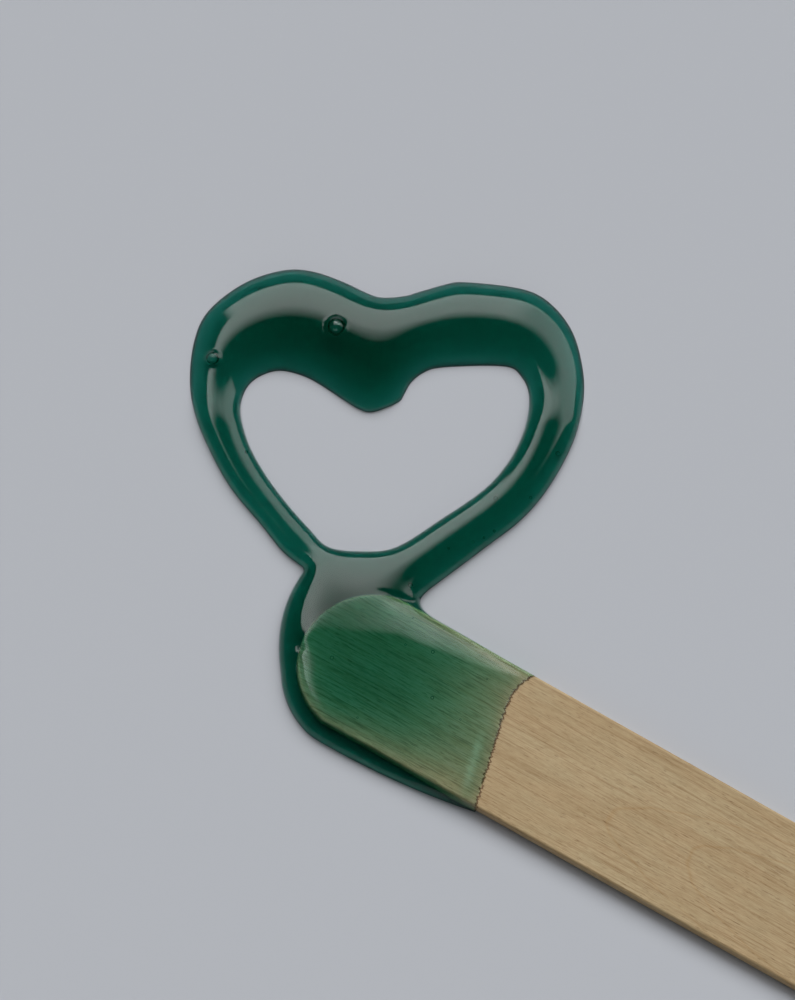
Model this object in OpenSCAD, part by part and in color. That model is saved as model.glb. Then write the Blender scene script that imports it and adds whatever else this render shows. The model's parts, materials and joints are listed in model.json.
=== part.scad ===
// Wooden waxing spatula lying in soft wax: the blade was dipped, a heart was
// drawn from its tip, and the spatula was laid down where the heart closes.
// +X runs from the waxed tip to the bare end, +Z is up, and the origin is on
// the table under the centre of the blade's round tip.

/* [Spatula] */
// Overall length of the wooden spatula
spatula_length = 150; // [120:1:200]
// Width of the blade
spatula_width = 18; // [15:0.5:22]
// Thickness of the veneer it is cut from
spatula_thickness = 1.6; // [1.4:0.1:2.4]
// How much blunter each end is than a half circle
end_bluntness = 0.2; // [0.1:0.05:1]
// Rounding that sanding leaves on every edge
edge_rounding = 0.35; // [0.1:0.05:0.6]

/* [Wax on the blade] */
// How far the blade was dipped, from its tip
dip_length = 26.4; // [20:0.2:45]
// How far the dip line leans across the blade, in degrees
dip_lean = 14.5; // [0:0.5:25]
// How far the dip line runs on up the blade's far edge
dip_hook = 2.2; // [0:0.1:4]
// Wax between the blade's underside and the table
bed_thickness = 0.25; // [0.15:0.05:0.8]
// Film on the blade's top face, in the middle of the round tip
film_middle = 1; // [0.6:0.05:1.4]
// Film on the blade's top face, at its edges
film_edge = 0.2; // [0.1:0.02:0.3]
// Film on the blade's top face, just before the dip line
film_end = 0.35; // [0.3:0.05:0.6]
// Wax on the blade's far side, where none has run off
side_coat = 0.45; // [0.3:0.05:0.9]
// How far the run-off spreads past the blade's tip and near side
runoff_spread = 2; // [1:0.1:3]

/* [Heart] */
// Width of the heart across both lobes
heart_width = 47.6; // [42:0.2:60]
// Height of the heart, from the neck to the top of the lobes
heart_height = 42.3; // [36:0.1:54]
// Angle of the heart on the table, against the spatula
heart_turn = 31; // [26:0.5:36]
// Where the neck joins the round tip, in degrees from the bare end
neck_bearing = 129; // [124:0.5:134]
// How far past the round tip the middle of the neck lies
neck_reach = 2.1; // [1.9:0.1:4]
// How far in from its edge the wax takes to climb to its level
climb = 2.6; // [2:0.1:3.2]

/* [Hidden] */

birch = [0.80, 0.70, 0.53];
wax_green = [0.0, 0.32, 0.27];

end_radius = spatula_width / 2 + end_bluntness;
half_width = spatula_width / 2;
bare_end = spatula_length - end_radius;          // the far tip, from the origin
lie_angle = asin(bed_thickness / (bare_end - edge_rounding));
wax_level = bed_thickness + spatula_thickness + film_middle;

// ---- Curves --------------------------------------------------------------

function mix(a, b, t) = a + (b - a) * t;
function turned(p, angle) = [p.x * cos(angle) - p.y * sin(angle),
                             p.x * sin(angle) + p.y * cos(angle)];

// A point list's neighbour i: wrapped round a closed list, mirrored past the
// ends of an open one.
function neighbour(points, i, closed) =
    let (n = len(points))
    closed ? points[(i + n) % n]
    : i < 0 ? 2 * points[0] - points[1]
    : i >= n ? 2 * points[n - 1] - points[n - 2]
    : points[i];

// Catmull-Rom curve: the point a share t of the way from points[i] to the next.
function curve(points, i, t, closed) =
    let (a = neighbour(points, i - 1, closed), b = points[i],
         c = neighbour(points, i + 1, closed), d = neighbour(points, i + 2, closed))
    b + (c - a) * t / 2 + (2 * a - 5 * b + 4 * c - d) * t * t / 2
      + (3 * b - a - 3 * c + d) * t * t * t / 2;

// A face without the corners that repeat.
function tidy(face) = [for (k = [0 : len(face) - 1])
    if (face[k] != face[(k + 1) % len(face)]) face[k]];

// ---- Heart ---------------------------------------------------------------

// The bead is measured across at each rung: [outer edge, inner edge], in
// millimetres from the middle of the neck, with the heart upright. The first
// and the last rung end at the two notches where the heart meets the run-off.
rungs = [
    [[-6.6, 2.0], [-3.8, 4.7]],
    [[-9.3, 4.2], [-6.0, 7.0]],
    [[-11.9, 7.7], [-8.5, 10.0]],
    [[-15.6, 12.5], [-11.1, 13.7]],
    [[-18.3, 17.8], [-13.1, 17.4]],
    [[-19.9, 22.2], [-14.1, 20.5]],
    [[-20.5, 26.4], [-14.4, 23.2]],
    [[-20.0, 31.5], [-13.5, 25.7]],
    [[-18.3, 35.5], [-11.8, 27.1]],
    [[-14.0, 39.1], [-9.5, 27.7]],
    [[-9.2, 40.8], [-6.6, 26.9]],
    [[-5.6, 40.6], [-4.3, 25.5]],
    [[-1.9, 39.2], [-1.9, 23.8]],
    [[0.6, 37.9], [0.0, 22.6]],
    [[2.6, 37.2], [1.6, 22.3]],
    [[5.4, 37.4], [4.5, 23.5]],
    [[6.7, 37.8], [5.2, 24.4]],
    [[8.3, 38.3], [6.1, 26.1]],
    [[10.3, 38.9], [7.8, 27.5]],
    [[12.7, 39.2], [10.2, 28.1]],
    [[19.5, 38.3], [17.4, 28.2]],
    [[22.9, 36.4], [19.3, 26.9]],
    [[25.4, 33.0], [20.2, 24.9]],
    [[26.6, 28.9], [20.2, 22.3]],
    [[26.9, 24.4], [19.5, 19.4]],
    [[25.7, 18.7], [18.0, 16.1]],
    [[22.8, 12.8], [15.5, 12.8]],
    [[19.5, 8.5], [12.6, 10.4]],
    [[15.2, 4.9], [9.6, 8.3]],
    [[6.7, -1.9], [4.3, 4.7]],
];
neck_inner = [0.2, 4.2];   // the opening's edge, over the middle of the neck
rung_steps = 4;            // stations from one rung to the next
bead_steps = 10;           // facets across the bead

outer_x = [for (r = rungs) r[0].x];
outer_y = [for (r = rungs) r[0].y];
shape_scale = [heart_width / (max(outer_x) - min(outer_x)),
               heart_height / (max(outer_y) - min(outer_y))];
neck_middle = (end_radius + neck_reach) * [cos(neck_bearing), sin(neck_bearing)];

function placed(p) =
    turned([p.x * shape_scale.x, p.y * shape_scale.y], heart_turn) + neck_middle;

outer_rungs = [for (r = rungs) placed(r[0])];
inner_rungs = [for (r = concat(rungs, [[[0, 0], neck_inner]])) placed(r[1])];
left_notch = outer_rungs[0];
right_notch = outer_rungs[len(rungs) - 1];

// The neck is parted along the straight line between the notches.
neck_steps = 2 * rung_steps;
neck_line = [for (k = [0 : neck_steps]) mix(right_notch, left_notch, k / neck_steps)];
neck_reserve = 8;          // wax behind the middle of the neck line

outer_edge = concat(
    [for (i = [0 : len(rungs) - 2]) for (s = [0 : rung_steps - 1])
        curve(outer_rungs, i, s / rung_steps, false)],
    [for (k = [0 : neck_steps - 1]) neck_line[k]]);
inner_edge = [for (i = [0 : len(rungs)]) for (s = [0 : rung_steps - 1])
    curve(inner_rungs, i, s / rung_steps, true)];
stations = len(outer_edge);
free_stations = stations - neck_steps;

// Height of wax x in from the edge of a bead that is w wide. It starts steep
// and rolls over to the level that a wide pool of it would have.
pool_level = 1.12 * wax_level;
edge_roll = 0.6;           // 1 for a plain slope at the edge, less for a rounder one
function cosh_of(v) = (exp(v) + exp(-v)) / 2;
function wax_height(x, w) = pool_level
    * pow(1 - cosh_of((x - w / 2) / climb) / cosh_of(w / 2 / climb), edge_roll);

function neck_share(k) = k <= 0 || k >= neck_steps ? 0 : sin(180 * k / neck_steps);
function heart_height_at(j, share) =
    let (w = norm(outer_edge[j] - inner_edge[j]),
         behind = neck_reserve * neck_share(j - free_stations))
    share <= 0 || (share >= 1 && behind == 0) ? 0
    : wax_height(share * w, w + behind);
neck_heights = [for (k = [0 : neck_steps])
    k == neck_steps ? 0 : heart_height_at(free_stations + k, 1)];

module wax_heart() {
    row = bead_steps + 1;
    top = [for (j = [0 : stations - 1]) for (i = [0 : bead_steps])
        let (share = (1 - cos(180 * i / bead_steps)) / 2,
             p = mix(inner_edge[j], outer_edge[j], share))
        [p.x, p.y, heart_height_at(j, share)]];
    foot = [for (j = [0 : stations - 1]) [outer_edge[j].x, outer_edge[j].y, 0]];
    function at(j, i) = (j % stations) * row + i;
    function foot_at(j) = j % stations > free_stations
        ? stations * row + j % stations : at(j, bead_steps);
    faces = concat(
        [for (j = [0 : stations - 1]) for (i = [0 : bead_steps - 1]) for (f = [
            [at(j, i), at(j, i + 1), at(j + 1, i + 1)],
            [at(j, i), at(j + 1, i + 1), at(j + 1, i)]]) f],
        [for (j = [0 : stations - 1])
            [at(j, 0), at(j + 1, 0), foot_at(j + 1), foot_at(j)]],
        [for (j = [free_stations : stations - 1])
            tidy([at(j, bead_steps), foot_at(j), foot_at(j + 1),
                  at(j + 1, bead_steps)])]);
    color(wax_green) polyhedron(concat(top, foot), faces, convexity = 6);
}

// ---- Spatula -------------------------------------------------------------

// The blade's frame: it lies on its bed of wax at the tip and touches the
// table at its bare end.
module on_blade() {
    translate([0, 0, bed_thickness]) rotate([0, lie_angle, 0]) children();
}

module rounded_profile(width) {
    r = edge_rounding;
    for (y = [r, width - r], z = [r, spatula_thickness - r])
        translate([y, z]) circle(r, $fn = 32);
    translate([0, r]) square([width, spatula_thickness - 2 * r]);
    translate([r, 0]) square([width - 2 * r, spatula_thickness]);
}

module round_end() {
    rotate_extrude($fn = 96) intersection() {
        translate([-end_radius, 0]) rounded_profile(2 * end_radius);
        square([end_radius, spatula_thickness]);
    }
}

module blade_blank() {
    middle = bare_end - end_radius;
    intersection() {
        union() {
            round_end();
            translate([middle, 0, 0]) round_end();
            translate([0, -end_radius, 0])
                cube([middle, 2 * end_radius, spatula_thickness]);
        }
        translate([-end_radius, -half_width, 0])
            rotate([90, 0, 90])
                linear_extrude(spatula_length) rounded_profile(spatula_width);
    }
}

module spatula() {
    color(birch) on_blade() blade_blank();
}

// ---- Wax on the blade ----------------------------------------------------

// Where the dip line crosses the blade at height y on it.
hook_start = spatula_width / 6;
hook_run = spatula_width / 3;
function dip_line(y) = dip_length - end_radius - y * tan(dip_lean)
    + dip_hook * pow(max(0, (y - hook_start) / hook_run), 2.5);

// The blade's edge in a direction from the tip's centre.
function blade_edge(angle) =
    min(end_radius, half_width / max(abs(sin(angle)), 0.01));

side_steps = 12;           // stations along each straight side
tip_steps = 22;            // stations round the tip, from the notch
tip_turn = 60;             // degrees over which the run-off thins out
notch_fade = 2;            // length over which the wax thins at the far notch
last_coat = 0.1;           // wax left on the side at the dip line
notch_angle = atan2(left_notch.y, left_notch.x);
notch_spread = norm(left_notch) - end_radius;

function far_spread(x, t) = mix(side_coat, last_coat, pow(t, 4))
    + (right_notch.y - half_width - side_coat) * pow(max(0, 1 - x / notch_fade), 2);
function near_spread(t) = mix(runoff_spread, last_coat, t * t);
function tip_spread(angle) = mix(notch_spread, runoff_spread,
    1 - pow(max(0, 1 - (angle - notch_angle) / tip_turn), 1.5));

// Along each side the stations fan round from the tip's last one, which
// crosses the blade at the notch, to the dip line. Place of a station that is
// t of the way there, at height y on the blade.
function fan(t, y) =
    [mix(max(0, y) * right_notch.x / right_notch.y, dip_line(y), t), y];

// Stations round the coat, each [outer point, share of the way to the dip
// line, height of its outer end]: down the far side, along the neck, round
// the tip and up the near side.
coat_stations = concat(
    [for (k = [side_steps : -1 : 1])
        let (t = k / side_steps, x = fan(t, half_width).x)
        [fan(t, half_width + far_spread(x, t)), t, 0]],
    [for (k = [0 : neck_steps]) [neck_line[k], 0, neck_heights[k]]],
    [for (k = [1 : tip_steps])
        let (angle = mix(notch_angle, 270, k / tip_steps),
             r = blade_edge(angle) + tip_spread(angle))
        [r * [cos(angle), sin(angle)], 0, 0]],
    [for (k = [1 : side_steps])
        let (t = k / side_steps)
        [fan(t, -half_width - near_spread(t)), t, 0]]);
first_tip = side_steps;
last_tip = side_steps + neck_steps + tip_steps;
slope_steps = 7;           // facets from the outer edge to the film
film_steps = 6;            // facets from there to the blade's middle line
film_inset = edge_rounding + 0.25;   // where the film starts, in from the edge
edge_cover = 0.87;         // share of its height that the wax has over the edge
roundness = 2.5;           // how full the wax stands where it spreads wide
film_lean = 0.03;          // how the film rises towards the far side, per mm
near_thinning = 2.5;       // how soon the film thins towards the near edge
far_thinning = 4;          // and towards the far edge, where it stays thick

function blade_top(x) = bed_thickness + spatula_thickness / cos(lie_angle)
    - x * tan(lie_angle);
// Film thickness a share of the way out from the middle, and t of the way to
// the dip line, where it ends. Side runs from -1 at the near side to 1 at the
// far side, and neck is 1 where the film runs on into the heart at full height.
function film(share, t, side, neck, y) =
    let (edge = mix(film_edge, film_middle, neck),
         thinning = mix(near_thinning, far_thinning, (1 + side) / 2))
    mix(mix(film_middle, film_end, t * t), edge, pow(share, thinning))
    * (1 - pow(t, 10) / 2) + film_lean * y * (1 - share * share) * (1 - t);

// Ring i's distance from the blade's middle line, or from the tip's centre.
function ring_distance(outer, film_start, i) = i <= slope_steps
    ? mix(outer, film_start, 1 - cos(90 * i / slope_steps))
    : film_start * (1 - (i - slope_steps) / film_steps);

function coat_point(station, i) =
    let (p = station[0], t = station[1], start = station[2],
         outer = t > 0 ? abs(p.y) : norm(p),
         edge = t > 0 ? half_width : blade_edge(atan2(p.y, p.x)),
         film_start = edge - film_inset,
         d = ring_distance(outer, film_start, i),
         q = t > 0 ? fan(t, sign(p.y) * d) : p * d / outer,
         top = blade_top(q.x)
               + film(min(1, d / film_start), t, t > 0 ? sign(p.y) : p.y / outer,
                      start / wax_level, q.y),
         up = min(1, (outer - d) / (outer - film_start)),
         fullness = max(roundness, ln(1 - edge_cover * edge_cover)
                                   / ln(film_inset / (outer - film_start))),
         rise = 1 - pow(1 - up, start > 0 ? roundness : fullness),
         z = mix(start, top, start > 0 ? rise : sqrt(rise)))
    [q.x, q.y, i == 0 ? start : z];

// The wax and the blade in it, as one body.
module wax_mass() {
    rings = slope_steps + film_steps;
    row = rings + 1;
    last = len(coat_stations) - 1;
    top = [for (s = coat_stations) for (i = [0 : rings]) coat_point(s, i)];
    foot = [for (p = top) [p.x, p.y, 0]];
    // Stations meet in pairs on the middle line, and all at the tip's centre.
    function at(j, i) = i < rings ? j * row + i
        : (first_tip - max(0, first_tip - j, j - last_tip)) * row + i;
    // A free edge is shared by the top and the base.
    function foot_at(j, i) = top[at(j, i)].z == 0 ? at(j, i) : len(top) + at(j, i);
    skin = [for (j = [0 : last - 1]) for (i = [0 : rings - 1]) for (f = [
        tidy([at(j, i), at(j, i + 1), at(j + 1, i + 1)]),
        tidy([at(j, i), at(j + 1, i + 1), at(j + 1, i)])]) if (len(f) > 2) f];
    neck_wall = [for (j = [first_tip : first_tip + neck_steps - 1])
        tidy([at(j, 0), at(j + 1, 0), foot_at(j + 1, 0), foot_at(j, 0)])];
    dip_wall = [for (i = [0 : rings - 1]) for (f = [
        tidy([at(0, i), foot_at(0, i), foot_at(0, i + 1), at(0, i + 1)]),
        tidy([at(last, i), at(last, i + 1), foot_at(last, i + 1),
              foot_at(last, i)])]) f];
    base = concat([for (j = [0 : last]) foot_at(j, 0)],
                  [for (i = [1 : rings]) foot_at(last, i)],
                  [for (i = [rings - 1 : -1 : 1]) foot_at(0, i)]);
    polyhedron(concat(top, foot), concat(skin, neck_wall, dip_wall, [base]),
               convexity = 6);
}

module wax_coat() {
    color(wax_green) difference() {
        wax_mass();
        on_blade() blade_blank();
    }
}

spatula();
wax_coat();
wax_heart();
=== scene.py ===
# %% [markdown]
# # A waxing spatula with a heart of green wax
#
# The object is a flat birch spatula, as used in beauty salons, whose round
# tip has been dipped in hot wax. A heart was drawn from the tip, and the
# spatula was laid down where the heart closes. There are two things to make:
# bare veneer, and one continuous body of clear green wax that stands up from
# the table like a drop of honey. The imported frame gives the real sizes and
# places. Finer relief, such as the film over the wood, is written down in
# millimetres where it is first needed.

# %% Load the frame
import json
import math

import bpy
import numpy as np
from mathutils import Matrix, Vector
from mathutils.bvhtree import BVHTree

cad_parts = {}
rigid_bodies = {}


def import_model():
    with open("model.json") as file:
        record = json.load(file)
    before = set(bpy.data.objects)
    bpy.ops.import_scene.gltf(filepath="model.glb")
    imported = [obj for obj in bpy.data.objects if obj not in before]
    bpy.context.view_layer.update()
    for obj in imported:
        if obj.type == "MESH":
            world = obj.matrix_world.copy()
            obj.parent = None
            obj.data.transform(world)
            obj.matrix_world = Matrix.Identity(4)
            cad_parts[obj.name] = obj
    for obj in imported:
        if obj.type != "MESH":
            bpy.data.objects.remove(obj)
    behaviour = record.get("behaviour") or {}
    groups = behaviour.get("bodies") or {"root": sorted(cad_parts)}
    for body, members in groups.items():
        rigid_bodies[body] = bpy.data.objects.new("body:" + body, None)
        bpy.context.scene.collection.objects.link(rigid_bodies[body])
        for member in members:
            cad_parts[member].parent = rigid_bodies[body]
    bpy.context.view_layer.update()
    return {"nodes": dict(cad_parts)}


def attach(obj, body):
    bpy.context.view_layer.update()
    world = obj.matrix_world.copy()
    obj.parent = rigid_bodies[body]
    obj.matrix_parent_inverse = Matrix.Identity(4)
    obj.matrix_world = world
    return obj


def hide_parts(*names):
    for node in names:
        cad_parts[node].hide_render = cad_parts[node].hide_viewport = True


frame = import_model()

MM = 0.001
print("nodes:", sorted(frame["nodes"]))

# %% [markdown]
# ## The camera
#
# The object is seen from high up, 70 degrees above the table, with the
# spatula running off to the lower right. The two edges of the blade look
# parallel, so the lens is very long and stands far back: a short lens would
# make the near end of the blade wider.

# %% Camera
VIEW_AZIMUTH = math.radians(30.86)
VIEW_ELEVATION = math.radians(70)
VIEW_CENTRE = Vector((-8.86, 20.35, 0)) * MM
VIEW_HEIGHT = 120.5 * MM       # what the picture's tall side spans
LENS, SENSOR = 1000, 36        # in millimetres, the sensor along the tall side
NEAREST, FARTHEST = 0.05, 50   # in metres, between which the camera sees

towards_camera = Vector((
    math.sin(VIEW_AZIMUTH) * math.cos(VIEW_ELEVATION),
    -math.cos(VIEW_AZIMUTH) * math.cos(VIEW_ELEVATION),
    math.sin(VIEW_ELEVATION)))
bpy.ops.object.camera_add(
    location=VIEW_CENTRE + towards_camera * VIEW_HEIGHT * LENS / SENSOR,
    rotation=(math.pi / 2 - VIEW_ELEVATION, 0, VIEW_AZIMUTH))
camera = bpy.context.object
camera.name = "camera"
camera.data.lens = LENS
camera.data.sensor_width = SENSOR
camera.data.clip_start = NEAREST
camera.data.clip_end = FARTHEST
bpy.context.scene.camera = camera
print("camera at, m:", [round(v, 3) for v in camera.location])

# %% [markdown]
# ## Small helpers
#
# Blender's operators work on whatever is active and selected, so every step
# starts by saying exactly that. The frame arrives selected, which makes a
# clean start even more important. Faces and corners are picked by what they
# are, such as their height or the way they face, and never by their number.

# %% Helpers for selecting and modelling
def only(piece):
    """Makes one piece the only selected one, and the active one."""
    bpy.ops.object.select_all(action="DESELECT")
    piece.select_set(True)
    bpy.context.view_layer.objects.active = piece


def edit(piece):
    """Opens a piece in edit mode, with all of it selected."""
    only(piece)
    bpy.ops.object.mode_set(mode="EDIT")
    bpy.ops.mesh.select_mode(type="FACE")
    bpy.ops.mesh.select_all(action="SELECT")


def done():
    """Closes edit mode."""
    bpy.ops.object.mode_set(mode="OBJECT")


def corners(piece):
    """The places of a piece's corners, one row each, in metres."""
    places = np.empty(len(piece.data.vertices) * 3, dtype=np.float32)
    piece.data.vertices.foreach_get("co", places)
    return places.reshape(-1, 3).astype(float)


def move_corners(piece, places):
    """Puts a piece's corners at new places."""
    piece.data.vertices.foreach_set("co", places.astype(np.float32).ravel())
    piece.data.update()


SELECT_MODES = {"vertices": "VERT", "edges": "EDGE", "polygons": "FACE"}


def edit_only(piece, kind, chosen):
    """Opens a piece in edit mode, with only the chosen parts selected."""
    only(piece)
    for other in SELECT_MODES:
        parts = getattr(piece.data, other)
        parts.foreach_set("select", np.zeros(len(parts), dtype=bool))
    getattr(piece.data, kind).foreach_set("select", np.asarray(chosen, dtype=bool))
    bpy.ops.object.mode_set(mode="EDIT")
    bpy.ops.mesh.select_mode(type=SELECT_MODES[kind])


def apply_modifier(piece, kind, **settings):
    """Adds one modifier, sets it and applies it."""
    only(piece)
    modifier = piece.modifiers.new(kind.title(), kind)
    for name, value in settings.items():
        setattr(modifier, name, value)
    bpy.ops.object.modifier_apply(modifier=modifier.name)


# %% [markdown]
# ## The wax: a skin over the real outline
#
# Hot wax runs until it sets, so it has no edges or flats of its own, only one
# smooth skin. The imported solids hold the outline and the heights, but in
# facets. So the skin is taken from copies of them: their upper faces are kept,
# the plane where they meet is dropped, and the triangles are paired back into
# quads, which a subdivision then rounds off. Where a large bubble will lift
# the skin, the quads are cut finer first.

# %% The two solids become one
WELD = 0.002 * MM              # corners closer than this become one

skin_parts = []
for name in ("wax_coat", "wax_heart"):
    part = bpy.data.objects.new(name + "_copy", frame["nodes"][name].data.copy())
    bpy.context.scene.collection.objects.link(part)
    skin_parts.append(part)
only(skin_parts[0])
skin_parts[1].select_set(True)
bpy.ops.object.join()
wax = bpy.context.object
wax.name = "green_wax"
bpy.ops.mesh.customdata_custom_splitnormals_clear()
edit(wax)
bpy.ops.mesh.remove_doubles(threshold=WELD)
done()
print("wax of both solids:", len(wax.data.vertices), "corners")

# %% The wax's upper skin
LEVEL_SLACK = 0.001            # less than this counts as upright, or as on the table
upper = np.array([f.normal.z > LEVEL_SLACK and f.center.z > LEVEL_SLACK * MM
                  for f in wax.data.polygons])
edit_only(wax, "polygons", ~upper)
bpy.ops.mesh.delete(type="FACE")
done()

# What hangs together with the highest corner is the skin, and nothing else.
heights = corners(wax)[:, 2]
edit_only(wax, "vertices", heights == heights.max())
bpy.ops.mesh.select_linked()
bpy.ops.mesh.select_all(action="INVERT")
bpy.ops.mesh.delete(type="VERT")
bpy.ops.mesh.select_all(action="SELECT")
bpy.ops.mesh.tris_convert_to_quads(
    face_threshold=math.radians(70), shape_threshold=math.radians(180))
done()
quads = sum(len(f.vertices) == 4 for f in wax.data.polygons)
print("skin:", len(wax.data.polygons), "faces, of which quads:", quads)

# %% Finer faces under the domes
# Place, radius and rise in millimetres of each dome that a bubble lifts.
DOMES = [(-26.2, 34.9, 1.75, 0.8), (-37.07, 24.08, 1.35, 0.6)]
ROUND_ABOUT = 0.6              # how far past a dome the faces are fine, in millimetres

middles = np.array([f.center[:2] for f in wax.data.polygons]) / MM
near_dome = np.zeros(len(middles), dtype=bool)
for x, y, radius, rise in DOMES:
    near_dome |= np.hypot(*(middles - (x, y)).T) < radius + ROUND_ABOUT
edit_only(wax, "polygons", near_dome)
bpy.ops.mesh.subdivide(number_cuts=2)
done()
apply_modifier(wax, "SUBSURF", levels=2, render_levels=2, boundary_smooth="ALL")
print("skin after subdivision:", len(wax.data.vertices), "corners")

# %% [markdown]
# ## The wax: letting it settle
#
# A liquid pulls its own skin tight while its weight keeps it level. In the
# middle of a wide bead the skin lies flat at one height, and near an edge it
# rolls down to the table in a round shoulder. Written for one corner of the
# skin, that is a sum: the corner stands as far off its neighbours' mean as its
# weight pulls it back to the level. No modelling tool does that, so the sums
# are solved for all the corners at once, by conjugate gradients. The answer is
# a share of the full height, and a power of it gives the steep, round edge
# that setting wax has.
#
# Two things hold the skin. The line where the wax meets the table stays put,
# and over the blade, where the wax was too thin to run level, the skin keeps
# close to the film's own thickness, which the step after this one gives.

# %% How a skin settles
SETTLED = 1e-12                # the share of the first error that is left at the end


def edge_pulls(plan, triangles):
    """Each edge's ends and pull, and each triangle's area, seen from above."""
    spots = [plan[triangles[:, k]] for k in range(3)]
    a, b = spots[1] - spots[0], spots[2] - spots[0]
    doubled = np.abs(a[:, 0] * b[:, 1] - a[:, 1] * b[:, 0])
    ends, pulls = [], []
    for k in range(3):
        one, other = (k + 1) % 3, (k + 2) % 3
        across = ((spots[one] - spots[k]) * (spots[other] - spots[k])).sum(axis=1)
        ends.append(triangles[:, [one, other]])
        pulls.append(across / doubled / 2)
    return np.concatenate(ends).T, np.concatenate(pulls), doubled / 2


def settle(plan, share, triangles, level, reach, held):
    """Each corner's share of the full height once the skin is at rest."""
    count = len(plan)
    (start, end), pulls, areas = edge_pulls(plan, triangles)
    weight = np.bincount(triangles.ravel(), np.repeat(areas / 3, 3), count)
    weight /= reach ** 2
    scale = (np.bincount(start, pulls, count) + np.bincount(end, pulls, count)
             + weight)

    def load(h):
        stretch = pulls * (h[start] - h[end])
        return (np.bincount(start, stretch, count)
                - np.bincount(end, stretch, count) + weight * h)

    left = np.where(held, 0, weight * level - load(share))
    step = left / scale
    drive = (left * step).sum()
    goal, rounds = drive * SETTLED, 0
    while drive > goal:
        answer = np.where(held, 0, load(step))
        length = drive / (step * answer).sum()
        share = share + length * step
        left = left - length * answer
        before, drive = drive, (left * left / scale).sum()
        step = left / scale + drive / before * step
        rounds += 1
    print("settled in", rounds, "rounds")
    return share


# %% Helpers for triangles and open edges
def triangles_of(piece):
    """The corner numbers of a piece's triangles, one row each."""
    piece.data.calc_loop_triangles()
    numbers = np.empty(len(piece.data.loop_triangles) * 3, dtype=np.int32)
    piece.data.loop_triangles.foreach_get("vertices", numbers)
    return numbers.reshape(-1, 3)


def rim_edges(piece):
    """Which edges are open, and every edge's two corner numbers."""
    loops = np.empty(len(piece.data.loops), dtype=np.int32)
    piece.data.loops.foreach_get("edge_index", loops)
    faces_on = np.bincount(loops, minlength=len(piece.data.edges))
    ends = np.empty(len(piece.data.edges) * 2, dtype=np.int32)
    piece.data.edges.foreach_get("vertices", ends)
    return faces_on == 1, ends.reshape(-1, 2)


def rim_corners(piece):
    """Which corners lie on an open edge."""
    open_edges, ends = rim_edges(piece)
    on_rim = np.zeros(len(piece.data.vertices), dtype=bool)
    on_rim[ends[open_edges].ravel()] = True
    return on_rim


# %% [markdown]
# ## The wax: the film over the blade
#
# The blade came out of the hot wax with a film on it, and most of that ran back
# towards the tip. So the film is about 1 mm thick on a ridge that crosses the
# blade at a slant, and it thins out to nothing at the dip line and to little at
# the near edge. A brush in sculpt mode could hardly keep to tenths of a
# millimetre, so the thickness is written as curves over the blade's plan: x
# runs along the blade from its tip, and y across it.

# %% The blade and its dip line
WOOD_TOP = 1.8                 # height of the blade's flat side, in millimetres
# Where the dip line crosses the blade's middle, its lean, and the hook at the
# blade's far edge, with the place and length over which it bends.
DIP_PLACE, DIP_LEAN = 17.2, math.radians(14.5)
DIP_HOOK, HOOK_FROM, HOOK_LENGTH, HOOK_BEND = 2.2, 3, 6, 2.5

blade = frame["nodes"]["spatula"]
blade_tree = BVHTree.FromPolygons([v.co for v in blade.data.vertices],
                                  [f.vertices[:] for f in blade.data.polygons])


def height_below(tree, x, y):
    """Height of what lies under a spot, in millimetres, or -1 for nothing."""
    hit = tree.ray_cast(Vector((x, y, 10)) * MM, Vector((0, 0, -1)))[0]
    return -1 if hit is None else hit.z / MM


def dip_line(y):
    """Where the dip line crosses the blade, at y across it, in millimetres."""
    hook = np.maximum(0, (y - HOOK_FROM) / HOOK_LENGTH) ** HOOK_BEND
    return DIP_PLACE - y * math.tan(DIP_LEAN) + DIP_HOOK * hook


print("dip line at both edges, mm:", [round(float(dip_line(y)), 2) for y in (-9, 9)])

# %% The film's thickness
def ease(value, low, high):
    """Runs smoothly from 0 to 1 while a value runs from low to high."""
    t = np.clip((value - low) / (high - low), 0, 1)
    return t * t * (3 - 2 * t)


def ridge_line(x):
    """Where across the blade the film stands highest, at x along it."""
    return np.interp(x, (-9, -7, -4.5, -2.3, 0.4, 4.6, 10.5, 16, 20),
                     (-0.5, 0.8, 1.9, 3.4, 4.7, 5.2, 6.2, 7.8, 8.5))


BLADE_EDGE = 9.2               # across the blade, a little outside its edge
FAR_SLOPE = 8.3                # across the blade, where the far slope is measured


def film_thickness(x, y):
    """Thickness of the wax on the blade's flat side, in millimetres.

    It is the ridge's own thickness, which falls off towards the dip line, times
    a share for the near side and a share for the far side of the ridge.
    """
    ridge = ridge_line(x)
    crest = np.interp(x, (-9, 0, 5, 8, 11, 14, 17, 20),
                      (1, 1, 0.88, 0.68, 0.48, 0.32, 0.22, 0.16))
    # Near side: from a thin share at the blade's edge up to the whole.
    edge = BLADE_EDGE - np.where(x < 0, np.hypot(x, y), np.abs(y))
    depth = 3.5 + 4.5 * ease(x, -3, 4)
    bare = 0.2 + 0.35 * ease(-x, 3, 8)
    near = bare + (1 - bare) * (1 - (1 - np.clip(edge / depth, 0, 1)) ** 1.9)
    near += (1 - near) * ease(y - ridge, -2.5 - 2 * ease(-x, 3, 7), 0)
    # Far side: down from the ridge, and once more at the blade's far edge.
    past = np.clip((y - ridge) / np.maximum(FAR_SLOPE - ridge, 0.5), 0, 3)
    lean = 0.3 + 0.15 * ease(x, -3, 3)
    far = 1 - lean * np.minimum(past, 1.3) ** 1.2
    far -= 0.25 * ease(x, -4, -2) * ease(y - 0.15 * np.minimum(x, 0), 7.8, 8.9)
    return crest * near * far


print("film on its ridge, mm:",
      [round(float(film_thickness(a, ridge_line(a))), 2) for a in (0, 5, 10, 15)])

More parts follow.
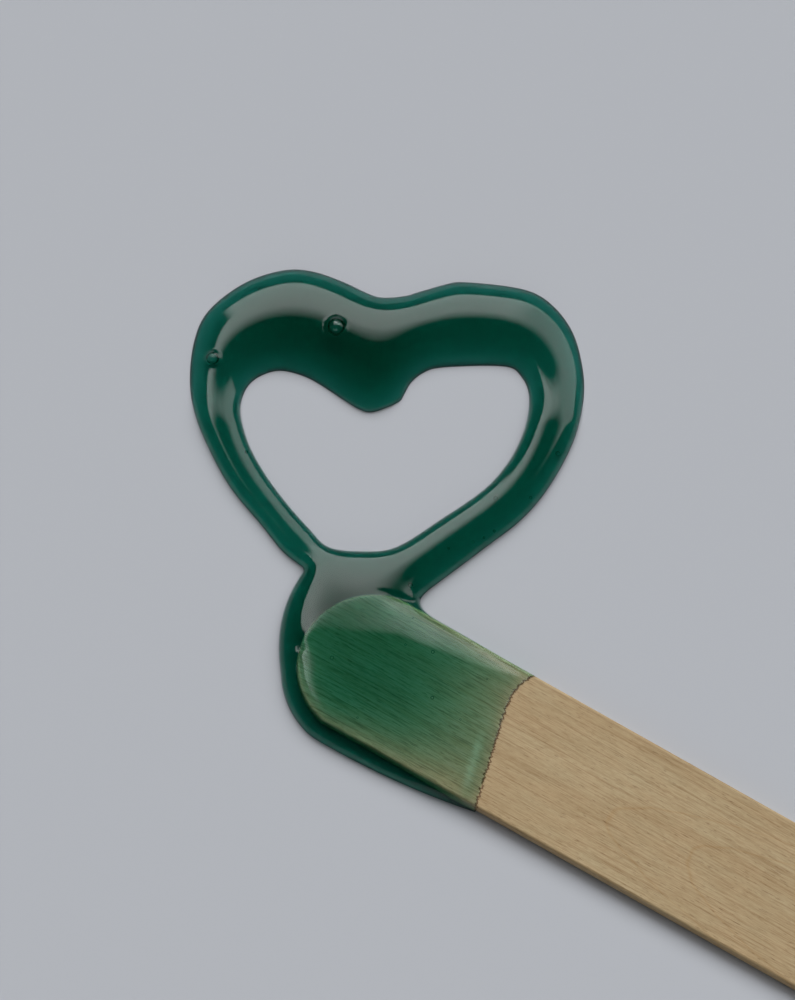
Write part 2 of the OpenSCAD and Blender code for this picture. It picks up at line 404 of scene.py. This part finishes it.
# %% [markdown]
# ## The wax: at rest
#
# Now the skin can settle. Each of its corners is of one of three kinds: the
# film on the blade's flat side, the thin wax on the blade's other edges, or the
# free wax beside it. The first two keep close to a height that is given, and
# the free wax alone runs as a liquid does.

# %% Film, thin wax and free wax
THINNEST = 0.08                # what is left over the wood at the least
NECK_END = 1                   # the neck reaches up to here along the blade
FAR_EDGE = 7                   # across the blade, where the film runs over its edge
NEAR_EDGE = (12, -7)           # along and across, where the run-off is thin
ROLL_HEIGHT, ROLL_PLACE, ROLL_WIDTH = 0.15, 1.4, 0.8     # the roll at the dip line

places = corners(wax) / MM
x, y, solid_height = places.T
solid_height = np.maximum(solid_height, 0)
wood = np.array([height_below(blade_tree, a, b) for a, b in places[:, :2]])
neck_side = (x < NECK_END) & (y > ridge_line(x) - 2)
flat_wood = (wood > WOOD_TOP - 0.05) | ((wood > 0) & (neck_side | (y > FAR_EDGE)))
thin_wax = ((wood > 0) & ~flat_wood) | ((x > NEAR_EDGE[0]) & (y < NEAR_EDGE[1]))
free_wax = ~flat_wood & ~thin_wax

# Where the film ran back from the dip line it stands in a low roll.
before_dip = dip_line(y) - x
film = film_thickness(x, y) * ease(before_dip, -0.1, 1.1)
roll = ROLL_HEIGHT * np.exp(-((before_dip - ROLL_PLACE) / ROLL_WIDTH) ** 2)
film += roll * np.clip((2 - y) / 4, 0, 1)
film_height = np.maximum(wood, WOOD_TOP) + np.maximum(film, THINNEST)
target = np.where(flat_wood, film_height, solid_height)
for name, kind in (("film", flat_wood), ("thin", thin_wax), ("free", free_wax)):
    print("corners of", name, "wax:", int(kind.sum()))

# %% The wax settles
POOL = 2.9                     # height of an endless pool, in millimetres
SHOULDER, WIDE_SHOULDER = 2.6, 3.0       # how far in from an edge the skin rolls
WIDE_ROLL, NARROW_ROLL = 1.0, 0.5        # a low power makes a steep, round edge
FOOT, FOOT_SHARE = 0.15, 0.04  # the little wall that the skin starts with
LOBES_FROM, LOBES_TO = 31, 39  # how far up the heart the wide lobes begin
LOBE_LIFT = 0.06               # how much fuller the wide lobes stand
NECK, NECK_SPREAD, NECK_SAG = (-7.5, 10.5), 4.0, 0.5     # the neck sank as it set
FILM_REACH = 0.7               # how far the film's own shape is evened out
EDGE_REACH = 0.2               # the same for the thin wax on the blade's edges

# The two lobes spread out with wide shoulders, and the branches stand up round.
up_heart = math.cos(VIEW_AZIMUTH) * y - math.sin(VIEW_AZIMUTH) * x
lobes = ease(up_heart, LOBES_FROM, LOBES_TO)
power = NARROW_ROLL + (WIDE_ROLL - NARROW_ROLL) * lobes
share = (np.maximum(target - FOOT, 0) / POOL) ** (1 / power)
off = np.hypot(x - NECK[0], y - NECK[1]) / NECK_SPREAD
full = 1 + LOBE_LIFT * lobes - NECK_SAG * np.exp(-off ** 2)
level = np.where(free_wax, full, share)

# Past its ridge the film is evened out over half the length.
free_reach = SHOULDER + (WIDE_SHOULDER - SHOULDER) * lobes
film_reach = FILM_REACH * (1 - 0.5 * ease(y - ridge_line(x), -1.5, -0.5))
reach = np.where(free_wax, free_reach, np.where(thin_wax, EDGE_REACH, film_reach))
rim = rim_corners(wax)
share = settle(places[:, :2], share, triangles_of(wax), level, reach, rim)
share = np.maximum(share, 0)
resting = POOL * share ** power + FOOT * (1 - np.exp(-share / FOOT_SHARE))
resting = np.where(rim, solid_height, np.maximum(resting, wood + THINNEST))
print("thinnest wax on the blade, mm:", round((resting - wood)[wood > 0].min(), 3))
print("highest wax, mm:", round(resting.max(), 3))

# %% [markdown]
# ## The wax: what setting leaves behind
#
# Wax that sets keeps a few marks of how it cooled. There is a small hollow
# behind the blade, a swell where the wax ran together under the cleft, and two
# bubbles under the skin have lifted it into domes. All of them are low and
# wide, so moving corners up and down is enough. The skin is fine enough for
# that, and under the domes it was cut finer before.

# %% Where the wax sank and where it swelled
# A small hollow behind the blade: its middle, length, width, slant and depth.
SINK, SINK_LENGTH, SINK_WIDTH, SINK_SLANT = (-1.9, 9.1), 2.8, 0.75, 0.22
SINK_DEPTH = 0.35
# A swell under the cleft between the lobes, where the wax ran together.
CLEFT, CLEFT_SPREAD, CLEFT_RISE = (-18.3, 33.1), 4.0, 0.28
FULL_SWELL = 2                 # wax of this height swells fully, and lower wax less

off_x, off_y = x - SINK[0], y - SINK[1]
sunk = np.hypot(off_x / SINK_LENGTH, (off_y - SINK_SLANT * off_x) / SINK_WIDTH)
resting -= SINK_DEPTH * np.maximum(0, 1 - sunk ** 2) ** 2
off = np.hypot(x - CLEFT[0], y - CLEFT[1]) / CLEFT_SPREAD
swell = CLEFT_RISE * np.exp(-off ** 2) * np.minimum(1, resting / FULL_SWELL)
resting += np.where(rim, 0, swell)
print("deepest sink and highest swell, mm:", SINK_DEPTH, round(swell.max(), 3))

# %% The domes
for dome_x, dome_y, radius, rise in DOMES:
    off = np.hypot(x - dome_x, y - dome_y) / radius
    resting += rise * np.maximum(0, 1 - off ** 2) ** 2
move_corners(wax, np.column_stack([x, y, resting]) * MM)
print("wax with its domes stands, mm:", round(resting.max(), 3))

# %% [markdown]
# ## The wax: closing it
#
# Clear materials need a closed body, because light has to know when it goes in
# and when it comes out. At the dip line the skin ends above the wood, so its
# edge is drawn straight down to the table, through the blade. Then every open
# edge lies on the table, and one flat base closes them all. Along the dip line
# the wax crept up the wood fibre by fibre, so that edge is made a little
# ragged first.

# %% The ragged edge at the dip line
RAGGED = 0.07                  # how far the edge strays, in millimetres

places = corners(wax)
on_blade = places[:, 2] > (WOOD_TOP - 0.1) * MM
at_dip = np.flatnonzero(rim_corners(wax) & on_blade)
stray = np.random.default_rng(7).normal(0, RAGGED * MM, len(at_dip))
places[at_dip, 0] += np.clip(stray, -2 * RAGGED * MM, 2 * RAGGED * MM)
move_corners(wax, places)
print("corners along the dip line:", len(at_dip))

# %% The wax's end and base
heights = places[:, 2]
open_edges, ends = rim_edges(wax)
edit_only(wax, "edges", open_edges & (heights[ends].max(axis=1) > 0))
bpy.ops.mesh.extrude_edges_move()
bpy.ops.transform.resize(value=(1, 1, 0), center_override=(0, 0, 0))
bpy.ops.mesh.select_all(action="SELECT")
bpy.ops.mesh.remove_doubles(threshold=WELD)
bpy.ops.mesh.select_all(action="DESELECT")
bpy.ops.mesh.select_non_manifold()
bpy.ops.mesh.fill()
bpy.ops.mesh.select_all(action="SELECT")
bpy.ops.mesh.normals_make_consistent(inside=False)
done()
print("closed wax:", len(wax.data.polygons), "faces, open edges:",
      int(rim_edges(wax)[0].sum()))

# %% [markdown]
# ## Air in the wax
#
# Wax that has been stirred holds a few bubbles of air. A bubble is a hole in
# the wax, so it is a small closed shell inside the body whose faces point into
# the hole. Light then bends at it the other way, which gives the dark ring and
# the bright spot of a real bubble. The two largest sit right under the skin,
# inside the domes that they lift.

# %% Bubbles
LOWEST = 0.05                  # how near the table a bubble may come
BIG_BUBBLE = 0.5               # past this radius a bubble gets finer faces
# Place, radius and depth under the skin of each one, in millimetres.
BUBBLES = [(-26.2, 34.9, 0.95, 0.15), (-37.07, 24.08, 0.7, 0.15),
           (4.7, 35.1, 0.3, 0.7), (1.5, 26.1, 0.28, 0.3), (4.9, 28.5, 0.2, 0.3),
           (3.3, 22.6, 0.18, 0.3), (2.7, 21.2, 0.16, 0.3), (1.9, 20.0, 0.18, 0.3),
           (-0.2, 17.8, 0.16, 0.8), (-1.7, 11.3, 0.3, 0.5), (-27.5, 15.9, 0.2, 0.3),
           (-4.8, -1.8, 0.24, 0.15), (5.2, 5.1, 0.22, 0.15), (8.1, 0.1, 0.22, 0.15),
           (12.4, -0.5, 0.12, 0.1), (12.5, 5.6, 0.1, 0.1), (1.7, -6.7, 0.13, 0.08),
           (1.9, 4.2, 0.14, 0.4), (4.8, 8.3, 0.1, 0.05), (0.9, 7.6, 0.12, 0.08)]

wax_tree = BVHTree.FromPolygons([v.co for v in wax.data.vertices],
                                [f.vertices[:] for f in wax.data.polygons])
shells = []
for x, y, radius, depth in BUBBLES:
    z = height_below(wax_tree, x, y) - depth - radius
    if z < max(height_below(blade_tree, x, y), LOWEST) + radius:
        print("no room for the bubble at", x, y)
        continue
    bpy.ops.mesh.primitive_ico_sphere_add(
        subdivisions=4 if radius > BIG_BUBBLE else 3, radius=radius * MM,
        location=(x * MM, y * MM, z * MM))
    shell = bpy.context.object
    bpy.ops.object.transform_apply(location=True, rotation=True, scale=True)
    edit(shell)
    bpy.ops.mesh.flip_normals()
    done()
    shells.append(shell)
only(wax)
for shell in shells:
    shell.select_set(True)
bpy.ops.object.join()
only(wax)
bpy.ops.object.shade_smooth_by_angle(angle=math.radians(40))
print("wax with", len(shells), "bubbles:", len(wax.data.polygons), "faces")
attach(wax, "root")
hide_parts("wax_coat", "wax_heart")

# %% [markdown]
# ## Materials: small helpers
#
# A procedural material is a net of nodes. These helpers add one node at a time
# and fill its inputs, with a plain value or with a wire from another node.

# %% Helpers for materials
def new_material(name):
    """An empty material's node tree, after the material itself."""
    material = bpy.data.materials.new(name)
    material.use_nodes = True
    material.node_tree.nodes.clear()
    return material, material.node_tree


def add(tree, kind, inputs=None, **settings):
    """Adds a node and fills its inputs, each with a value or a wire."""
    node = tree.nodes.new(kind)
    for name, value in settings.items():
        setattr(node, name, value)
    for name, value in (inputs or {}).items():
        if isinstance(value, bpy.types.NodeSocket):
            tree.links.new(value, node.inputs[name])
        else:
            node.inputs[name].default_value = value
    return node


def sums(tree, how, *values):
    """One step of arithmetic on numbers or wires."""
    return add(tree, "ShaderNodeMath", dict(enumerate(values)),
               operation=how).outputs[0]


def spread(tree, value, low, high, to_low=0, to_high=1):
    """Stretches one range of values over another, and clamps it."""
    return add(tree, "ShaderNodeMapRange",
               {"Value": value, "From Min": low, "From Max": high,
                "To Min": to_low, "To Max": to_high}).outputs["Result"]


def blend(tree, how, factor, under, over):
    """Lays one colour over another."""
    return add(tree, "ShaderNodeMix", {0: factor, 6: under, 7: over},
               data_type="RGBA", blend_type=how).outputs[2]


def dress(piece, material):
    """Gives a piece one material all over."""
    for slot in piece.material_slots:
        slot.material = material
    if not piece.material_slots:
        piece.data.materials.append(material)


# %% [markdown]
# ## Materials: clear green wax
#
# The wax is tinted glass, not green paint. Its surface only bends and mirrors
# light, and the colour builds up inside, where the dye eats nearly all the red and
# some of the green and blue for every millimetre that light travels. So a
# thin film stays a light green over the wood, and a thick bead goes deep
# emerald, with no second material. The lowest part of the skin gets a darker
# tint, which is partly painted shade: it stands in for the real edge, which is
# steeper than the skin can be, holds more dye and keeps light off the paper under it.

# %% Green wax
DYE, DYE_DENSITY = (0.16, 0.75, 0.68), 1650       # what it lets through, and how dense
CLEAR = (1, 1, 1, 1)
# Two painted shades near the table, each with the heights in millimetres at which
# it starts to fade and is gone.
RIM_PAINTED_SHADE, RIM_FROM, RIM_TO = (0.06, 0.1, 0.1, 1), 0.15, 0.6
EDGE_PAINTED_SHADE, EDGE_FROM, EDGE_TO = (0.4, 0.84, 0.76, 1), 0.5, 2.2

clear_wax, tree = new_material("clear_green_wax")
height = add(tree, "ShaderNodeSeparateXYZ", {
    "Vector": add(tree, "ShaderNodeTexCoord").outputs["Object"]}).outputs["Z"]
# Painted shade: both tints darken the wax towards the table.
lowest = blend(tree, "MIX", spread(tree, height, RIM_FROM * MM, RIM_TO * MM),
               RIM_PAINTED_SHADE, CLEAR)
low = blend(tree, "MIX", spread(tree, height, EDGE_FROM * MM, EDGE_TO * MM),
            EDGE_PAINTED_SHADE, CLEAR)
gloss = add(tree, "ShaderNodeBsdfPrincipled", {
    "Base Color": blend(tree, "MULTIPLY", 1.0, lowest, low),
    "Roughness": 0.03, "IOR": 1.39, "Transmission Weight": 1})
dye = add(tree, "ShaderNodeVolumeAbsorption", {
    "Color": (*DYE, 1), "Density": DYE_DENSITY})
add(tree, "ShaderNodeOutputMaterial", {
    "Surface": gloss.outputs[0], "Volume": dye.outputs[0]})
dress(wax, clear_wax)
print("wax absorbs per mm:", [round(DYE_DENSITY * MM * (1 - c), 3) for c in DYE])

# %% [markdown]
# ## Materials: birch veneer
#
# Birch is pale and almost plain. What tells it from paint is that everything
# in it runs along the blade: broad warm and cool stripes, fine fibres, and
# short dark vessels. Here and there the knife cut a growth ring at a slant,
# which leaves a faint brown arc. All but the arcs are noises that are stretched
# along the blade, and they are laid over each other from large to small. The
# pattern is solid, so the cut edges match the faces.
#
# Wood that has soaked up wax looks different: its fibres stand out darker, and
# a thin dark line shows where the dip stopped. Under the film the wood is also
# painted brighter, painted light that makes up for the light the film takes away.

# %% Birch: the layers of grain
birch, tree = new_material("birch_veneer")
here = add(tree, "ShaderNodeTexCoord").outputs["Object"]


def grain(along, across, detail=2.0, rough=0.5, start=(0, 0, 0)):
    """A noise whose blots are so long and so wide, in millimetres."""
    stretched = add(tree, "ShaderNodeMapping", {
        "Vector": here, "Location": start,
        "Scale": (1 / (along * MM), 1 / (across * MM), 1 / (across * MM))})
    return add(tree, "ShaderNodeTexNoise", {
        "Vector": stretched.outputs[0], "Scale": 1.0, "Detail": detail,
        "Roughness": rough}).outputs[0]


stripes = grain(22, 2.6, detail=3)
mottle = grain(5, 2.2, detail=3, start=(3, 1, 0))
fibres = grain(3.2, 0.2, detail=3, rough=0.6, start=(0, 7, 2))
threads = grain(1.3, 0.1, detail=2, rough=0.7, start=(5, 2, 0))
vessels = grain(1.1, 0.13, detail=1, start=(2, 9, 4))
lines = grain(15, 0.22, detail=4, rough=0.62, start=(1, 3, 8))
print("grain:", len(tree.nodes), "nodes so far")

# %% Birch: the plain wood
PALE, WARM, MOTTLED = (0.51, 0.4, 0.232), (0.463, 0.34, 0.182), (0.525, 0.38, 0.21)
# Each fine layer: where in its noise it starts and ends, how strong it is, and
# the tint it lays over the wood.
FINE_LAYERS = [(fibres, 0.45, 0.72, 0.65, (0.74, 0.66, 0.56, 1)),
               (threads, 0.45, 0.75, 0.65, (0.72, 0.62, 0.5, 1)),
               (vessels, 0.64, 0.74, 0.6, (0.45, 0.34, 0.24, 1)),
               (lines, 0.5, 0.68, 0.75, (0.7, 0.6, 0.48, 1))]

colour = blend(tree, "MIX", spread(tree, stripes, 0.35, 0.65), (*PALE, 1), (*WARM, 1))
colour = blend(tree, "MIX", spread(tree, mottle, 0.4, 0.75, 0, 0.6),
               colour, (*MOTTLED, 1))
for noise, low, high, strength, tint in FINE_LAYERS:
    colour = blend(tree, "MULTIPLY", spread(tree, noise, low, high, 0, strength),
                   colour, tint)
print("fine layers over the plain wood:", len(FINE_LAYERS))

# %% Birch: growth rings that the knife cut at a slant
RING_TIPS = (34, 44.5, 71, 96) # in millimetres, how far along the blade arcs start
RING_AXIS, RING_BOW = -1.5, 0.35         # the arcs' middle line, and how they bend
RING_WANDER, RING_WIDTH = 2.5, 0.5       # in millimetres, their stray and width
RING_STRENGTH, RING_TINT = 0.35, (0.86, 0.68, 0.42, 1)

spot = add(tree, "ShaderNodeSeparateXYZ", {"Vector": here}).outputs
wander = spread(tree, grain(9, 5, detail=2, start=(4, 4, 1)), 0, 1,
                -RING_WANDER * MM, RING_WANDER * MM)
bow = sums(tree, "MULTIPLY", sums(tree, "POWER", sums(
    tree, "SUBTRACT", spot["Y"], RING_AXIS * MM), 2), RING_BOW / MM)
along = sums(tree, "SUBTRACT", sums(tree, "ADD", spot["X"], wander), bow)
for tip in RING_TIPS:
    away = sums(tree, "ABSOLUTE", sums(tree, "SUBTRACT", along, tip * MM))
    ring = spread(tree, away, 0, RING_WIDTH * MM, RING_STRENGTH, 0)
    colour = blend(tree, "MULTIPLY", ring, colour, RING_TINT)
print("growth rings:", len(RING_TIPS))

# %% Birch: where the dip stopped
CREEP, DIP_LINE_WIDTH = 0.22, 0.2       # in millimetres, the wax's stray and the dark line's width
HIGHLIGHT_PLACE, HIGHLIGHT_WIDTH = 1.9, 0.75     # before the line, and half the streak
FILM_PAINTED_LIGHT, FIBRE_TINT = (1.38, 1.38, 1.48, 1), (0.62, 0.66, 0.64, 1)
FAR_TINT, PAINTED_HIGHLIGHT_COLOUR = (0.5, 0.95, 0.7, 1), (0.98, 0.92, 0.66, 1)
DIP_LINE_TINT = (0.3, 0.2, 0.12, 1)

# The same dip line as above: it leans, hooks, and creeps along the fibres.
hook = sums(tree, "POWER", spread(
    tree, spot["Y"], HOOK_FROM * MM, (HOOK_FROM + HOOK_LENGTH) * MM), HOOK_BEND)
dip = sums(tree, "ADD", sums(tree, "MULTIPLY", hook, DIP_HOOK * MM), sums(
    tree, "MULTIPLY_ADD", spot["Y"], -math.tan(DIP_LEAN), DIP_PLACE * MM))
creep = spread(tree, grain(2.2, 0.3, detail=2, start=(6, 1, 1)), 0.3, 0.7,
               -CREEP * MM, CREEP * MM)
past_dip = sums(tree, "ADD", sums(tree, "SUBTRACT", spot["X"], dip), creep)

# Before that line the wood is soaked. There it is painted brighter, painted
# light that makes up for the light the film above takes away, and its fibres
# stand out darker. Along its far edge it is made darker and greener.
soaked = spread(tree, past_dip, -0.1 * MM, 0.1 * MM, 1, 0)
colour = blend(tree, "MULTIPLY", soaked, colour, FILM_PAINTED_LIGHT)
dark_fibres = sums(tree, "MULTIPLY", soaked, spread(tree, fibres, 0.5, 0.66, 0, 0.7))
colour = blend(tree, "MULTIPLY", dark_fibres, colour, FIBRE_TINT)
far_edge = sums(tree, "MULTIPLY", soaked, spread(tree, spot["Y"], 8.2 * MM, 9 * MM))
colour = blend(tree, "MULTIPLY", far_edge, colour, FAR_TINT)

# Just before the line, on the near half, a pale streak is painted into the
# wood: a painted highlight, the window mirrored in the film's low roll there.
off_highlight = sums(tree, "ABSOLUTE", sums(tree, "ADD", past_dip, HIGHLIGHT_PLACE * MM))
painted_highlight = sums(tree, "MULTIPLY",
             spread(tree, off_highlight, 0.1 * MM, HIGHLIGHT_WIDTH * MM, 0.4, 0),
             spread(tree, spot["Y"], -2.5 * MM, 0, 1, 0))
painted_highlight = sums(tree, "MULTIPLY", painted_highlight, spread(tree, spot["Y"], -8 * MM, -6 * MM))
painted_highlight = sums(tree, "MULTIPLY", painted_highlight, spread(tree, mottle, 0.35, 0.6, 0.3, 1))
colour = blend(tree, "MIX", painted_highlight, colour, PAINTED_HIGHLIGHT_COLOUR)

# The line itself is drawn as a thin dark line.
off_line = sums(tree, "ABSOLUTE", sums(tree, "SUBTRACT", past_dip, 0.05 * MM))
colour = blend(tree, "MULTIPLY", spread(tree, off_line, 0.05 * MM, DIP_LINE_WIDTH * MM, 1, 0),
               colour, DIP_LINE_TINT)
print("dip line in the wood at, mm:", DIP_PLACE, "and along the fibres up to:", CREEP)

# %% Birch: relief and finish
relief = sums(tree, "ADD", fibres, sums(tree, "MULTIPLY", threads, 0.6))
bump = add(tree, "ShaderNodeBump", {"Height": relief, "Strength": 0.5,
                                    "Distance": 0.05 * MM})
veneer = add(tree, "ShaderNodeBsdfPrincipled", {
    "Base Color": colour, "Normal": bump.outputs[0],
    "Roughness": 0.58, "Specular IOR Level": 0.35})
add(tree, "ShaderNodeOutputMaterial", {"Surface": veneer.outputs[0]})
dress(blade, birch)
print("birch:", len(birch.node_tree.nodes), "shader nodes")

# %% [markdown]
# ## The table
#
# The object lies on a sheet of pale paper. Wax that sets on paper wets it, so
# there is no air between them: the sheet is raised a hair into the wax's base,
# and light that comes down through the wax meets the paper with no second
# surface on the way. Far out the sheet turns up, as a background for views
# from low down.

# %% Table
CONTACT = 0.025                # in millimetres, how far the paper is raised
SHEET_RADIUS = 1.2             # in metres
TURN_UP, TURN_OUT = 0.1, 1.25  # how high it turns up, and how many times wider

bpy.ops.mesh.primitive_circle_add(vertices=96, radius=SHEET_RADIUS, fill_type="NGON",
                                  location=(0, 0, CONTACT * MM))
table = bpy.context.object
table.name = "table"
bpy.ops.object.transform_apply(location=True, rotation=True, scale=True)
edit(table)
bpy.ops.mesh.select_mode(type="EDGE")
bpy.ops.mesh.extrude_edges_move(TRANSFORM_OT_translate={"value": (0, 0, TURN_UP)})
bpy.ops.transform.resize(value=(TURN_OUT, TURN_OUT, 1), center_override=(0, 0, TURN_UP))
done()
print("table:", len(table.data.polygons), "faces")

# %% Paper
PAPER_COLOUR = (0.535, 0.556, 0.598)

paper, tree = new_material("pale_paper")
sheet = add(tree, "ShaderNodeBsdfPrincipled", {
    "Base Color": (*PAPER_COLOUR, 1), "Roughness": 0.75,
    "Specular IOR Level": 0.2})
add(tree, "ShaderNodeOutputMaterial", {"Surface": sheet.outputs[0]})
dress(table, paper)
print("paper's colour:", PAPER_COLOUR)

# %% [markdown]
# ## The light
#
# One large window behind the object does nearly all the work. The wax shows it
# as a pale band along every shoulder that leans towards it, so the window's
# sill and sides set where those bands start and stop, and its soft top makes
# them fade over the crest. Its left side leans out higher up, which draws the
# bands to a point, and its right part is dimmer. It is drawn straight into the
# world, as a bright patch of sky whose edges are given as angles from the
# viewer's own direction. The rest of the room is dim, and that keeps the wax
# deep and clear.

# %% Window and room
SILL, SILL_SOFT = math.radians(22), math.radians(25)
TOP_SOFT, TOP = math.radians(55), math.radians(68)
LEFT, LEFT_SOFT = math.radians(-35), math.radians(-29)
LEAN, LEAN_FROM = 2.5, math.radians(41)  # above this the left side leans out
RIGHT_SOFT, RIGHT = math.radians(76), math.radians(80)
PANE_EDGE, PANE_EDGE_SOFT = math.radians(12), math.radians(24)
WINDOW_RADIANCE, ROOM_RADIANCE = 4.4, 0.015
FAR_PANE = 0.6                 # how bright the right part is against the left

scene = bpy.context.scene
world = bpy.data.worlds.new("room_with_window")
scene.world = world
world.use_nodes = True
tree = world.node_tree
tree.nodes.clear()
turned = add(tree, "ShaderNodeVectorRotate", {
    "Vector": add(tree, "ShaderNodeTexCoord").outputs["Generated"],
    "Angle": -VIEW_AZIMUTH}, rotation_type="Z_AXIS")
axes = add(tree, "ShaderNodeSeparateXYZ", {"Vector": turned.outputs[0]}).outputs
height = sums(tree, "ARCSINE", axes["Z"])
side = sums(tree, "ARCTAN2", axes["X"], axes["Y"])
window = spread(tree, height, SILL, SILL_SOFT)
window = sums(tree, "MULTIPLY", window, spread(tree, height, TOP_SOFT, TOP, 1, 0))
above = sums(tree, "MAXIMUM", sums(tree, "SUBTRACT", height, LEAN_FROM), 0)
leaning = sums(tree, "ADD", side, sums(tree, "MULTIPLY", above, LEAN))
window = sums(tree, "MULTIPLY", window, spread(tree, leaning, LEFT, LEFT_SOFT))
window = sums(tree, "MULTIPLY", window, spread(tree, side, RIGHT_SOFT, RIGHT, 1, 0))
window = sums(tree, "MULTIPLY", window,
              spread(tree, side, PANE_EDGE, PANE_EDGE_SOFT, 1, FAR_PANE))
glow = spread(tree, window, 0, 1, ROOM_RADIANCE, WINDOW_RADIANCE)
add(tree, "ShaderNodeOutputWorld", {
    "Surface": add(tree, "ShaderNodeBackground", {
        "Color": (1, 1, 1, 1), "Strength": glow}).outputs[0]})
scene.view_settings.view_transform = "Standard"
print("window, radiance:", WINDOW_RADIANCE, "and the room:", ROOM_RADIANCE)

# %% [markdown]
# ## The light: a fill from the front
#
# With the window alone, everything that faces the viewer is nearly black: the
# blade's near edge, and the side of the wax that the spatula pressed out. In a
# real room the walls throw some light back. One large, weak lamp stands in for
# them, and it is kept out of mirror images, because a wall would not show as a
# bright square in the wax.

# %% Fill from the front
FILL_ELEVATION, FILL_AWAY = math.radians(22), 2.0
FILL_SIZE, FILL_POWER = 1.2, 5.0

towards_fill = Vector((
    math.sin(VIEW_AZIMUTH) * math.cos(FILL_ELEVATION),
    -math.cos(VIEW_AZIMUTH) * math.cos(FILL_ELEVATION),
    math.sin(FILL_ELEVATION)))
bpy.ops.object.light_add(
    type="AREA", location=towards_fill * FILL_AWAY,
    rotation=(math.pi / 2 - FILL_ELEVATION, 0, VIEW_AZIMUTH))
fill = bpy.context.object
fill.name = "front_fill"
fill.data.size = FILL_SIZE
fill.data.energy = FILL_POWER
fill.visible_glossy = False
print("fill lamp at, m:", [round(v, 2) for v in fill.location])
